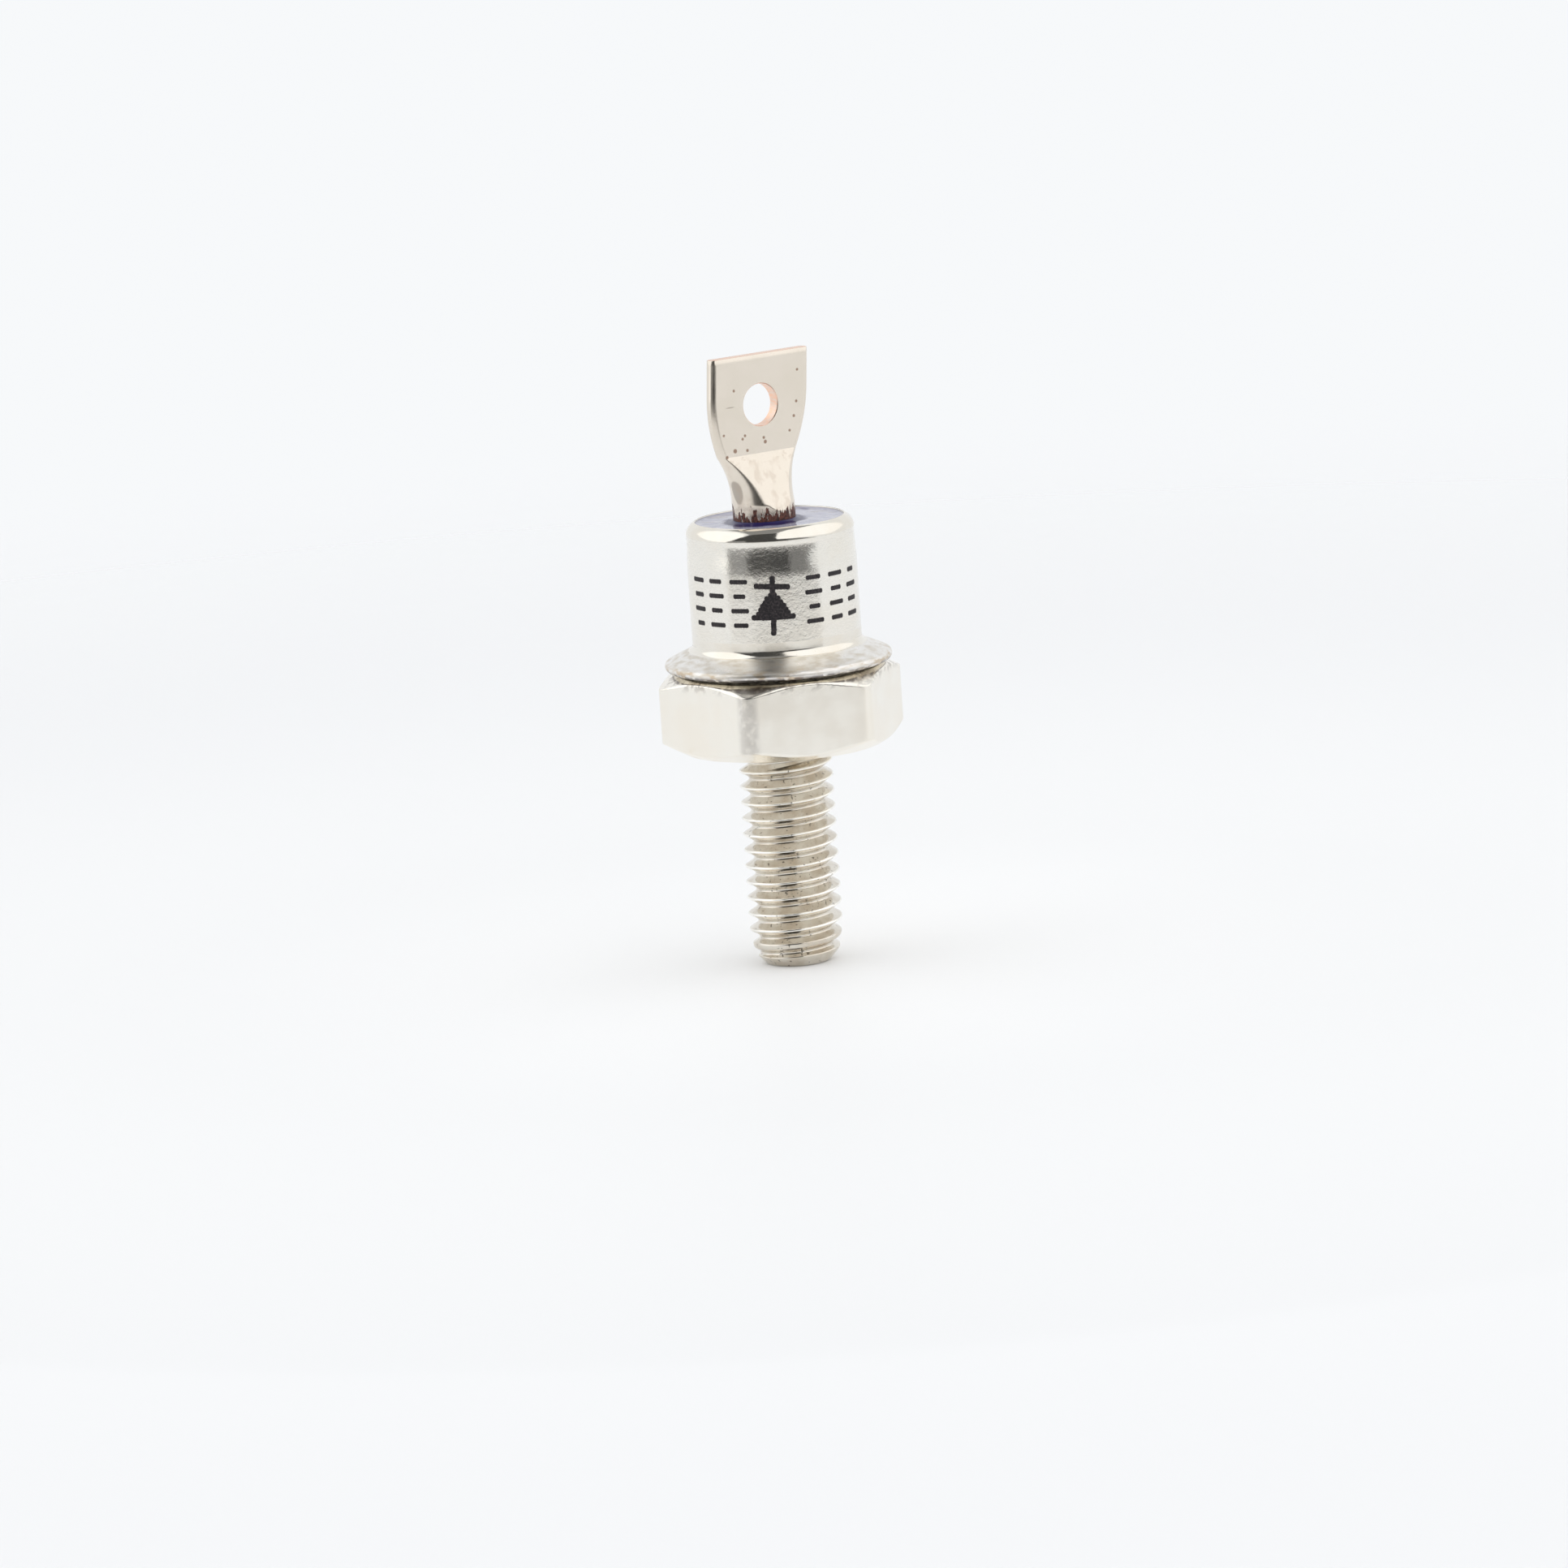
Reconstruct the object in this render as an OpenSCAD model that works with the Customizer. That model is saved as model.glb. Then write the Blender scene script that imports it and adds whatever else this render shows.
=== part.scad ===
// Stud-mounted rectifier diode with a flattened tube terminal, in millimetres.
// The origin is the centre of the hexagon's seating face. +Z runs up the axis to the
// terminal, and the hole in the terminal runs along Y.

/* [Stud] */
// Major diameter of the M6 thread
thread_d = 5.88; // [5.8:0.02:5.96]
// Pitch of the thread
pitch = 1; // [0.8:0.05:1.2]
// Width of the flat on the thread's crest
crest_flat = 0.13; // [0.08:0.01:0.18]
// Width of the flat at the thread's root
root_flat = 0.17; // [0.12:0.01:0.24]
// Angle about the axis where the thread's crest reaches the seating face
thread_turn = 319; // [0:1:360]
// Length of the stud below the seating face
stud_len = 13.7; // [11:0.1:18]
// Length of the plain shank under the seating face, where the thread ends
shank_len = 0.45; // [0.3:0.05:0.9]
// Clearance by which the plain shank stands out past the crests
shank_gap = 0.02; // [0.01:0.01:0.05]
// Length of the gentle taper that leads the thread in
lead_len = 1.7; // [1:0.1:2.5]
// Angle of the gentle taper, from the axis
lead_angle = 10; // [4:1:14]
// Diameter of the flat end
tip_d = 4; // [3.6:0.1:4.4]
// Angle of the end chamfer, from the axis
tip_angle = 42; // [30:1:55]

/* [Hexagon] */
// Width across the flats
hex_af = 13.6; // [12.8:0.1:14.6]
// Thickness of the hexagon
hex_h = 4.95; // [4:0.05:7]
// Diameter across the rounded corners
hex_corner_d = 15.4; // [15.3:0.05:15.7]
// Diameter of the flat on the top face, inside its chamfer
hex_top_d = 13; // [12.4:0.1:13.2]
// Diameter of the seating face, inside its chamfer
hex_seat_d = 12.5; // [11.5:0.1:12.8]
// Angle of both chamfers, from the flat faces
hex_chamfer = 30; // [20:1:35]
// Turn of the hexagon's corner about the axis, from the terminal's plane
hex_turn = 37.7; // [0:0.1:60]

/* [Weld land and pedestal] */
// Diameter of the raised land that the shell is welded to
land_d = 12; // [11.4:0.1:12.3]
// Height of that land
land_h = 0.15; // [0.1:0.05:0.4]
// Clearance between the pedestal and the bore of the shell
pedestal_gap = 0.3; // [0.15:0.05:0.6]
// Height of the pedestal above the hexagon
pedestal_h = 1.4; // [0.8:0.1:2]

/* [Cap shell] */
// Outer diameter of the shell
cap_d = 10.5; // [10.2:0.1:10.9]
// Wall of the shell
cap_wall = 0.62; // [0.5:0.02:0.8]
// Height of the shell, from the land to its lip
cap_h = 9.15; // [8.9:0.05:11]
// Radius of the shoulder under the lip
shoulder_r = 0.8; // [0.7:0.05:1.1]
// Diameter of the weld flange
flange_d = 14.1; // [13.6:0.1:14.4]
// Thickness of the flange at its round rim
flange_t = 0.56; // [0.4:0.02:0.8]
// Fall of the top of the flange, from level
flange_slope = 25; // [10:1:35]
// Radius of the fillet between the wall and the flange
root_r = 0.5; // [0.3:0.05:0.7]

/* [Seal] */
// Depth of the lacquer's edge below the lip
seal_recess = 0.12; // [0.05:0.01:0.3]
// Thickness of the lacquer over the glass
lacquer_t = 0.2; // [0.1:0.02:0.4]
// Rise of the lacquer where it wets the tube
lacquer_rise = 0.16; // [0.1:0.02:0.25]
// Width of the ring of lacquer that creeps up the tube
lacquer_creep = 0.5; // [0.3:0.05:0.8]
// Thickness of the glass
glass_t = 2.6; // [1.6:0.1:2.8]

/* [Terminal] */
// Outer diameter of the tube
tube_d = 3.87; // [3.6:0.01:4.1]
// Wall of the tube
tube_wall = 0.6; // [0.5:0.01:0.7]
// Length of tube that stands out of the glass inside the shell
tube_tail = 0.5; // [0.2:0.1:0.7]
// Round length of the tube above the lip
neck_len = 0.65; // [0.4:0.05:1.2]
// Height of the pressed ramp, from the round neck to the crease
ramp_len = 3.46; // [3:0.02:4.5]
// Height of the flat lug above the crease
lug_len = 6.1; // [5.6:0.1:7]
// Thickness of the flat lug
lug_t = 0.82; // [0.7:0.02:1]
// Width of the flat lug at its top
lug_w = 7.43; // [6.8:0.01:8]
// Width across the terminal at the crease
crease_w = 5.86; // [5.2:0.02:6.4]
// Height over which the lug widens above the crease
flare_len = 3.7; // [2.5:0.1:4.5]
// Radius of the lug's folded side edges
edge_r = 0.5; // [0.5:0.02:0.8]
// Offset of the tube from the axis, along X
tube_shift = -0.35; // [-0.5:0.05:0.5]
// Further offset of the terminal at the crease
crease_shift = -0.28; // [-0.4:0.02:0.4]
// Lean of the flat lug in its own plane
lug_lean = 5; // [-6:0.5:6]
// Diameter of the hole in the lug
hole_d = 2.6; // [1.6:0.1:3]
// Distance from the lug's top edge to the centre of the hole
hole_drop = 3.12; // [2.8:0.02:3.4]

/* [Die stack] */
// Thickness of each solder layer
solder_t = 0.08; // [0.05:0.01:0.15]
// Diameter of the lower molybdenum disc
lower_disc_d = 6; // [5.6:0.1:6.6]
// Thickness of the lower molybdenum disc
lower_disc_t = 0.5; // [0.3:0.05:0.8]
// Side of the square silicon die
die_w = 3.8; // [3.4:0.1:3.9]
// Thickness of the silicon die
die_t = 0.28; // [0.2:0.02:0.4]
// Diameter of the upper molybdenum disc
upper_disc_d = 3; // [2.6:0.1:3.3]
// Thickness of the upper molybdenum disc
upper_disc_t = 0.4; // [0.3:0.05:0.6]
// Radius of the silicone coat round the die
coat_r = 3.7; // [3.5:0.1:3.8]
// Width of the coat's collar round the upper disc
coat_collar = 0.5; // [0.3:0.05:0.6]

/* [Inner lead] */
// Width of the copper strip
strip_w = 1.7; // [1.2:0.1:2]
// Thickness of the copper strip
strip_t = 0.36; // [0.3:0.02:0.44]
// Centreline radius of its three bends
bend_r = 0.6; // [0.45:0.05:0.7]
// Length of the strip's end that the pinched tube grips
grip_len = 0.6; // [0.3:0.1:0.8]

/* [Hidden] */
$fn = 96;

// How far a cutting tool runs past the face that it cuts
run_out = 1;
// Points round one turn of the thread, and turns of it drawn past both ends of the stud
turn_steps = 36;
spare_turns = 2;
// How much smaller the pressed loft starts inside the round tube
loft_inset = 0.01;
// Levels of the pressed loft below and above the crease, and points round each side
ramp_steps = 14;
flare_steps = 10;
side_steps = 12;
// Steps in each rounded corner of a turned profile
arc_steps = 10;
// Shape of the terminal's widening, and where on the ramp its sides are round again
widen_power = 2.3;
round_from = 0.5;

stud_r = thread_d / 2;
tip_r = tip_d / 2;
tip_z = -stud_len;
lead_r = stud_r - lead_len * tan(lead_angle);
tip_chamfer = (lead_r - tip_r) / tan(tip_angle);
lead_z = tip_z + tip_chamfer;
flank_h = (pitch - crest_flat - root_flat) / 2;
thread_root_r = stud_r - flank_h / tan(30);

land_z = hex_h + land_h;
cap_r = cap_d / 2;
bore_r = cap_r - cap_wall;
pedestal_r = bore_r - pedestal_gap;
pedestal_z = hex_h + pedestal_h;
lip_z = land_z + cap_h;

lacquer_z = lip_z - seal_recess;
glass_z = lacquer_z - lacquer_t;
glass_low_z = glass_z - glass_t;

tube_r = tube_d / 2;
tube_bore_r = tube_r - tube_wall;
tube_low_z = glass_low_z - tube_tail;
neck_z = lip_z + neck_len;
crease_z = neck_z + ramp_len;
lug_top_z = crease_z + lug_len;
hole_z = lug_top_z - hole_drop;

lower_disc_z = pedestal_z + solder_t;
die_solder_z = lower_disc_z + lower_disc_t;
die_z = die_solder_z + solder_t;
top_solder_z = die_z + die_t;
upper_disc_z = top_solder_z + solder_t;
lead_solder_z = upper_disc_z + upper_disc_t;
foot_z = lead_solder_z + solder_t;
upper_disc_r = upper_disc_d / 2;

// Height at which the inner walls of the pinched tube meet the strip
pinch_share = (strip_t / 2 + tube_wall - lug_t / 2) / (tube_r - lug_t / 2);
pinch_z = crease_z - ramp_len * pinch_share;
grip_z = pinch_z + grip_len;

// Points of an arc about a centre, in the order of its angles
function arc(centre, r, from, to, steps = arc_steps) =
    [for (i = [0 : steps]) let (t = from + (to - from) * i / steps) centre + r * [cos(t), sin(t)]];

// How far down the ramp a height is: 0 at the crease and 1 at the round neck
function down_ramp(z) = (crease_z - z) / ramp_len;

// Half width, half thickness and side radius of the terminal at a height
function half_w(z) =
    z > crease_z
    ? lug_w / 2 - (lug_w - crease_w) / 2 * pow(max(0, 1 - (z - crease_z) / flare_len), 2)
    : tube_r + (crease_w / 2 - tube_r) * pow(1 - down_ramp(z), widen_power);
function half_t(z) =
    z > crease_z ? lug_t / 2 : lug_t / 2 + (tube_r - lug_t / 2) * down_ramp(z);
function side_r(z) =
    z > crease_z
    ? lug_t / 2 + (edge_r - lug_t / 2) * min(1, (z - crease_z) / flare_len)
    : half_t(z) + (half_w(z) - half_t(z)) * min(1, down_ramp(z) / round_from);
function centre_x(z) =
    tube_shift + (z > crease_z
    ? crease_shift + tan(lug_lean) * (z - crease_z)
    : crease_shift * (1 - down_ramp(z)));

// Closed outline of the terminal at a height: two round sides joined by two flats
function section(z) =
    let (
        t = half_t(z),
        r = max(t, side_r(z)),
        c = half_w(z) - r,
        a = asin(min(1, t / r))
    )
    [for (p = concat(arc([c, 0], r, -a, a, side_steps), arc([-c, 0], r, 180 - a, 180 + a, side_steps)))
        [p.x + centre_x(z), p.y, z]];

module revolved(points) rotate_extrude() polygon(points);

module disc(r, z, h) translate([0, 0, z]) cylinder(r = r, h = h);

// A cylinder along the tube's own axis
module on_tube(r, z, h) translate([tube_shift, 0, 0]) disc(r, z, h);

module square_block(w, z, h) translate([-w / 2, -w / 2, z]) cube([w, w, h]);

// Skin of a loft through closed outlines of equal length
module loft(outlines) {
    n = len(outlines[0]);
    last = len(outlines) - 1;
    points = [for (o = outlines) each o];
    sides = [for (k = [0 : last - 1], i = [0 : n - 1])
        let (j = (i + 1) % n)
        each [
            [k * n + i, (k + 1) * n + j, k * n + j],
            [k * n + i, (k + 1) * n + i, (k + 1) * n + j]
        ]];
    low = [[for (i = [0 : n - 1]) i]];
    high = [[for (i = [n - 1 : -1 : 0]) last * n + i]];
    polyhedron(points, concat(low, sides, high));
}

// Rod with a right-hand thread, taller than the stud at both ends
module threaded_rod() {
    outline = [
        [-crest_flat / 2 - flank_h, thread_root_r], [-crest_flat / 2, stud_r],
        [crest_flat / 2, stud_r], [crest_flat / 2 + flank_h, thread_root_r]
    ];
    turns = ceil(stud_len / pitch) + 2 * spare_turns;
    low_z = -(turns - spare_turns) * pitch;
    m = len(outline);
    n = m * turns;
    last = turn_steps - 1;
    columns = [for (k = [0 : last], t = [0 : turns - 1], p = outline)
        let (a = thread_turn + 360 * k / turn_steps)
        [p.y * cos(a), p.y * sin(a), low_z + pitch * (t + k / turn_steps) + p.x]];
    points = concat(columns, [[0, 0, low_z - pitch], [0, 0, low_z + (turns + 1) * pitch]]);
    // Faces between neighbouring columns, where the last column meets the first one turn up
    sides = [for (k = [0 : last])
        let (to = k == last ? m : (k + 1) * n, top = k == last ? n - m - 2 : n - 2)
        for (i = [0 : top])
            each [[k * n + i, to + i + 1, to + i], [k * n + i, k * n + i + 1, to + i + 1]]];
    low = concat([for (k = [0 : last]) k * n], [for (i = [m : -1 : 1]) i]);
    high = concat([for (k = [0 : last]) k * n + n - 1], [for (i = [1 : m]) last * n + n - 1 - i]);
    ends = [for (i = [0 : len(low) - 1])
        let (j = (i + 1) % len(low))
        each [[len(columns), low[i], low[j]], [len(columns) + 1, high[j], high[i]]]];
    polyhedron(points, concat(sides, ends));
}

// Threaded stud, hexagon, weld land and pedestal, turned from one bar
module stud_base() color([0.80, 0.78, 0.73]) {
    clear_r = stud_r + crest_flat;
    intersection() {
        threaded_rod();
        revolved([
            [0, tip_z], [tip_r, tip_z], [lead_r, lead_z],
            [clear_r, lead_z + (clear_r - lead_r) / tan(lead_angle)], [clear_r, pitch], [0, pitch]
        ]);
    }
    intersection() {
        rotate(hex_turn) cylinder(d = hex_af / cos(30), h = hex_h, $fn = 6);
        revolved(hex_profile());
    }
    disc(stud_r + shank_gap, -shank_len, shank_len + land_h);
    disc(land_d / 2, hex_h - land_h, 2 * land_h);
    disc(pedestal_r, hex_h - land_h, pedestal_h + land_h);
}

// Half section that gives the hexagon its chamfers and rounded corners
function hex_profile() =
    let (
        r = hex_corner_d / 2,
        top = hex_top_d / 2,
        seat = hex_seat_d / 2,
        slope = tan(hex_chamfer)
    )
    [[0, 0], [seat, 0], [r, (r - seat) * slope], [r, hex_h - (r - top) * slope], [top, hex_h], [0, hex_h]];

// Drawn steel shell: straight bore, round shoulder, and a sloping weld flange with a round rim
module cap_shell() color([0.84, 0.82, 0.78]) {
    rim_r = flange_t / 2;
    rim = [flange_d / 2 - rim_r, land_z + rim_r];
    normal = 90 - flange_slope;
    rim_end = rim + rim_r * [cos(normal), sin(normal)];
    root_x = cap_r + root_r * (1 - cos(normal));
    root_z = rim_end.y + (rim_end.x - root_x) * tan(flange_slope) + root_r * sin(normal);
    shoulder_x = cap_r - shoulder_r;
    lip_angle = acos((bore_r - shoulder_x) / shoulder_r);
    shoulder_z = lip_z - shoulder_r * sin(lip_angle);
    revolved(concat(
        [[bore_r, land_z]],
        arc(rim, rim_r, -90, normal),
        arc([cap_r + root_r, root_z], root_r, 180 + normal, 180),
        arc([shoulder_x, shoulder_z], shoulder_r, 0, lip_angle)
    ));
}

// Glass that insulates the tube from the shell
module glass_seal() color([0.55, 0.60, 0.62]) difference() {
    disc(bore_r, glass_low_z, glass_t);
    on_tube(tube_r, glass_low_z - run_out, glass_t + 2 * run_out);
}

// Violet lacquer over the glass, creeping up the tube
module seal_lacquer() color([0.45, 0.45, 0.66]) difference() {
    union() {
        disc(bore_r, glass_z, lacquer_t);
        translate([tube_shift, 0, lacquer_z]) cylinder(
            r1 = tube_r + lacquer_creep, r2 = tube_r + lacquer_creep / 4, h = lacquer_rise
        );
    }
    on_tube(tube_r, glass_z - run_out, lacquer_t + lacquer_rise + 2 * run_out);
}

// Copper tube through the glass, pressed flat into a lug and pierced
module terminal_tube() color([0.85, 0.80, 0.74]) difference() {
    union() {
        on_tube(tube_r, tube_low_z, neck_z - tube_low_z);
        pressed_end();
    }
    on_tube(tube_bore_r, tube_low_z - run_out, neck_z - tube_low_z + run_out);
    pinched_bore();
    grip_slot();
    translate([centre_x(hole_z), 0, hole_z]) rotate([90, 0, 0])
        cylinder(d = hole_d, h = lug_t + 2 * run_out, center = true);
}

// Outside of the pressed end, from the round neck to the sheared top edge
module pressed_end() {
    ramp = [for (i = [1 : ramp_steps]) neck_z + ramp_len * i / ramp_steps];
    flare = [for (i = [1 : flare_steps]) crease_z + flare_len * i / flare_steps];
    start = [for (t = [0 : 1 : 2 * side_steps + 1])
        let (a = t <= side_steps ? -90 + 180 * t / side_steps : 90 + 180 * (t - side_steps - 1) / side_steps)
        [tube_shift + (tube_r - loft_inset) * cos(a), (tube_r - loft_inset) * sin(a), neck_z]];
    loft(concat([start], [for (z = ramp) section(z)], [for (z = flare) section(z)], [section(lug_top_z)]));
}

// The tube's bore above the neck, closing down onto the strip
module pinched_bore() {
    walls = [for (i = [0 : ramp_steps])
        let (z = neck_z + (pinch_z - neck_z) * i / ramp_steps)
        [max(strip_t / 2, min(tube_bore_r, half_t(z) - tube_wall)), z]];
    intersection() {
        on_tube(tube_bore_r, neck_z, pinch_z - neck_z);
        rotate([90, 0, 90]) linear_extrude(3 * tube_d, center = true)
            polygon(concat(walls, [for (i = [ramp_steps : -1 : 0]) [-walls[i].x, walls[i].y]]));
    }
}

// Place of the strip's end in the solid pinch
module grip_slot() translate([tube_shift - strip_w / 2, -strip_t / 2, neck_z])
    cube([strip_w, strip_t, grip_z - neck_z]);

// One quarter of a flat ring: a bend of the strip, seen from its edge
module quarter_bend(centre, corner) {
    side = bend_r + strip_t;
    translate(centre) intersection() {
        difference() {
            circle(r = bend_r + strip_t / 2);
            circle(r = bend_r - strip_t / 2);
        }
        translate([corner.x < 0 ? -side : 0, corner.y < 0 ? -side : 0]) square(side);
    }
}

// Copper strip from the die stack up into the tube, with an S bend that takes up expansion
module inner_lead() color([0.80, 0.48, 0.32]) {
    mid_z = foot_z + strip_t / 2;
    straight_z = mid_z + 3 * bend_r;
    translate([tube_shift - strip_w / 2, 0, 0]) rotate([90, 0, 90]) linear_extrude(strip_w) {
        translate([-bend_r, foot_z]) square([2 * bend_r, strip_t]);
        quarter_bend([bend_r, mid_z + bend_r], [1, -1]);
        quarter_bend([bend_r, mid_z + bend_r], [1, 1]);
        quarter_bend([bend_r, mid_z + 3 * bend_r], [-1, -1]);
        translate([-strip_t / 2, straight_z]) square([strip_t, grip_z - straight_z]);
    }
}

// Solder between the pedestal and the lower disc
module lower_solder() color([0.62, 0.63, 0.66]) disc(lower_disc_d / 2, pedestal_z, solder_t);

// Lower molybdenum disc
module lower_disc() color([0.50, 0.51, 0.53]) disc(lower_disc_d / 2, lower_disc_z, lower_disc_t);

// Solder under the die
module die_solder() color([0.62, 0.63, 0.66]) square_block(die_w, die_solder_z, solder_t);

// Silicon die with the junction
module silicon_die() color([0.24, 0.25, 0.30]) square_block(die_w, die_z, die_t);

// Solder on the die
module top_solder() color([0.62, 0.63, 0.66]) disc(upper_disc_r, top_solder_z, solder_t);

// Upper molybdenum disc
module upper_disc() color([0.50, 0.51, 0.53]) disc(upper_disc_r, upper_disc_z, upper_disc_t);

// Solder under the foot of the strip
module lead_solder() color([0.62, 0.63, 0.66])
    translate([tube_shift - strip_w / 2, -bend_r, lead_solder_z]) cube([strip_w, 2 * bend_r, solder_t]);

// Silicone coat on the edges of the die
module junction_coat() color([0.90, 0.90, 0.86]) difference() {
    revolved([
        [0, pedestal_z], [coat_r, pedestal_z], each arc([coat_r - upper_disc_t, die_z], upper_disc_t, 0, 60),
        [upper_disc_r + coat_collar, lead_solder_z], [0, lead_solder_z]
    ]);
    disc(lower_disc_d / 2, pedestal_z - run_out, die_solder_z - pedestal_z + run_out);
    square_block(die_w, die_solder_z, top_solder_z - die_solder_z);
    disc(upper_disc_r, top_solder_z, lead_solder_z - top_solder_z + run_out);
}

stud_base();
cap_shell();
glass_seal();
seal_lacquer();
terminal_tube();
inner_lead();
lower_solder();
lower_disc();
die_solder();
silicon_die();
top_solder();
upper_disc();
lead_solder();
junction_coat();
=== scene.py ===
"""Looks of a stud-mounted rectifier diode: finished meshes, materials, plain studio and camera.

Sizes are in millimetres, in the row's frame, and MM turns them into metres where a mesh is made.
"""
import math

import bpy
from mathutils import Matrix, Vector, noise


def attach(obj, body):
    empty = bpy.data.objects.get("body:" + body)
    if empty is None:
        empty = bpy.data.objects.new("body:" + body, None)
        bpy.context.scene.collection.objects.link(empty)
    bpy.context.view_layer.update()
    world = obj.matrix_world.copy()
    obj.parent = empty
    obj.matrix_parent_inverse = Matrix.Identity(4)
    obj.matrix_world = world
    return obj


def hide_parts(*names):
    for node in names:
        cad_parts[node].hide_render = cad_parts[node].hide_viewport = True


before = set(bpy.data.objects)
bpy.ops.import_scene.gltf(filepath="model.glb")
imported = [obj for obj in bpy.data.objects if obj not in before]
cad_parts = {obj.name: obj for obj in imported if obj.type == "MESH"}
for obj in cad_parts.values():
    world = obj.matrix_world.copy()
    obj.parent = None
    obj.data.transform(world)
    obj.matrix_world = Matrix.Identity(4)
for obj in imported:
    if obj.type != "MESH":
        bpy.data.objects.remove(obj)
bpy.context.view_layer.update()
BODY = "root"
MM = 0.001

# Stud and thread
THREAD_R = 2.94
PITCH = 1.0
CREST_SOFT = 0.05
ROOT_SOFT = 0.14
THREAD_DEPTH = 0.62
CREST_AZIMUTH = 143.85
CREST_Z = -1.487
THREAD_HALF_ANGLE = 30
SHANK_LEN = 0.45
SHANK_BLEND = 0.15
STUD_STEP = 0.04
END_Z = -13.7
END_R = 2.0
LEAD_LEN = 1.7
LEAD_ANGLE = 10
END_ANGLE = 42
END_SOFT = 0.1

# Hexagon, weld land and pedestal
HEX_AF = 13.6
HEX_H = 4.95
HEX_CORNER_R = 7.7
HEX_TOP_R = 6.5
HEX_SEAT_R = 6.25
HEX_CHAMFER = 30
HEX_TURN = 37.7
EDGE_SOFT = 0.14
PROFILE_SOFT = 0.1
LAND_R = 6.0
LAND_Z = 5.1
PEDESTAL_Z = 6.35
PEDESTAL_GAP = 0.3

# Cap shell
CAP_R = 5.25
CAP_WALL = 0.62
LIP_Z = 14.25
SHOULDER_R = 0.8
FLANGE_R = 7.05
FLANGE_T = 0.56
FLANGE_SLOPE = 25
ROOT_R = 0.5
BORE_R = CAP_R - CAP_WALL
PEDESTAL_R = BORE_R - PEDESTAL_GAP
NECKING_Z = 11.2
NECKING_DEEP_Z = LIP_Z - 1.1
NECKING_END_Z = LIP_Z - 0.75
NECKING = 0.07
NECKING_BACK = 0.02

# Seal
LACQUER_Z = LIP_Z - 0.12
LACQUER_T = 0.2
LACQUER_RISE = 0.16
LACQUER_CREEP = 0.16
LIP_RISE = 0.1
LIP_CREEP = 0.12
RIPPLE = 0.035
GLASS_LOW_Z = LACQUER_Z - LACQUER_T - 2.6

# Terminal
TUBE_R = 1.935
TUBE_WALL = 0.6
TUBE_X = -0.35
TUBE_LOW_Z = GLASS_LOW_Z - 0.5
ROUND_Z = LIP_Z + 0.65
CREASE_Z = ROUND_Z + 3.46
TOP_Z = CREASE_Z + 6.1
LUG_T = 0.82
LUG_W = 7.43
CREASE_W = 5.86
FLARE_LEN = 3.7
LUG_EDGE_R = 0.5
CREASE_SHIFT = -0.28
LUG_LEAN = 5
HOLE_R = 1.3
HOLE_FLARE = 0.05
HOLE_Z = TOP_Z - 3.12
WIDEN_POWER = 2.3
NECK_FLAT = 0.78
FLAT_POWER = 1.8

# Marks of use on the lug: specks (x, z, radius), a scratch and a worn oval (centre, half sizes)
LUG_SPECKS = [
    (-2.34, 22.42, 0.05), (2.10, 20.32, 0.06), (-0.20, 19.01, 0.08), (-0.30, 19.28, 0.06),
    (-2.53, 18.72, 0.10), (-1.60, 18.65, 0.06), (-3.17, 18.41, 0.07), (-3.31, 19.78, 0.05),
    (-1.71, 19.57, 0.05), (1.71, 19.46, 0.05), (2.58, 23.14, 0.05), (2.36, 21.20, 0.06),
    (-1.91, 19.39, 0.05)
]
SCRATCH_PLACE = (-2.70, -0.41, 21.43)
SCRATCH_SIZE = (0.42, 0.2, 0.045)
WORN_PLACE = (-2.45, -0.2, 16.15)
WORN_SIZE = (0.48, 0.5, 0.95)
WORN_CORNER = ((-6.09, -4.71, 2.6), (1.2, 1.2, 3.6))
WORN = (0.25, 0.2, 0.16)

# Printed marks on the cap: azimuths in degrees, and widths of each block's dashes from the top
SYMBOL_AZIMUTH = -127.6
SYMBOL_Z = 9.68
INK_CELL = 0.03
INK_T = 0.008
DOT_PITCH = 0.19
TRIANGLE_PITCH = 0.16
SYMBOL_DOT = 0.18
DASH_DOT = 0.15
DASH_SPAN = 2.7
INK_BLOCKS = [
    (-150.5, (0.9, 0.5, 0.9, 0.7)), (-169.0, (0.7, 0.9, 0.6, 0.9)), (173.0, (0.9, 0.7, 0.9, 0.5)),
    (-98.5, (0.7, 0.9, 0.5, 0.9)), (-80.0, (0.9, 0.6, 0.9, 0.7)), (-61.5, (0.5, 0.9, 0.7, 0.9))
]

# Camera, fitted to the photo: it looks from azimuth -36.15 degrees, turned so that the origin lands on
# ORIGIN_PIXEL
CAMERA_AZIMUTH = -36.15
CAMERA_ELEVATION = 9.996
CAMERA_DISTANCE = 472.5
CAMERA_ROLL = -3.81
FOCAL_PIXELS = 9384.9
IMAGE_PIXELS = 1932
ORIGIN_PIXEL = (966.2, 916.7)
SENSOR_MM = 36.0

# Studio seen in the metal: rows (rise, from, to) over the camera's side, where from and to are sideways
# shares, then distances and levels of the cards, and (radius, level) stops of the ground
FRONT_GAP = [
    (-12, -0.87, 0.84), (8, -0.86, 0.66), (12, -0.83, 0.15), (26, -0.74, 0.12), (54, -0.48, 0.13),
    (66, -0.35, 0.12)
]
GAP_HAZE = [(-11, -0.88, -0.56), (2, -0.88, -0.56), (11, -0.85, -0.56)]
RIGHT_HAZE = [(-11, 0.40, 0.85), (2, 0.40, 0.74), (8, 0.40, 0.66)]
TOP_GAP = [(66, -0.35, 0.12), (90, -0.33, 0.20), (110, -0.30, 0.28), (127, -0.28, 0.28)]
LEFT_SOFTBOX = [
    (-5, -0.999, -0.84), (20, -0.999, -0.80), (54, -0.999, -0.50), (75, -0.999, -0.40),
    (100, -0.999, -0.36), (125, -0.999, -0.40), (150, -0.999, -0.75)
]
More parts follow.
